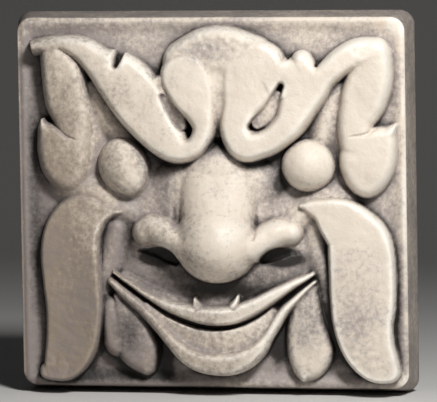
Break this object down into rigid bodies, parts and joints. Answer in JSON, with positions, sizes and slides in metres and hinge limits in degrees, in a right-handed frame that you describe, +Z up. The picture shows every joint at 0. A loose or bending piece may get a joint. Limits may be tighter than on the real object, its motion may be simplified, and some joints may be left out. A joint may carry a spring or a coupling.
{
  "type": "cast relief wall tile with a grotesque leaf mask",
  "caption": "Square cast wall tile with a flat back and flared sides, whose dished front carries a grinning leafy ogre mask in high relief.",
  "frame": {"origin": "centre of the flat back, on the wall", "axes": "+Z up the tile, +Y out of the back into the wall, the mask looks towards -Y"},
  "size_m": [0.203, 0.0537, 0.1906],
  "materials": {
    "cast_stone": "cream cast stone, hand-rubbed on the high parts, with a grey-brown wash left in the recesses"
  },
  "bodies": {
    "root": {"mask_tile": "cast_stone"}
  },
  "joints": []
}
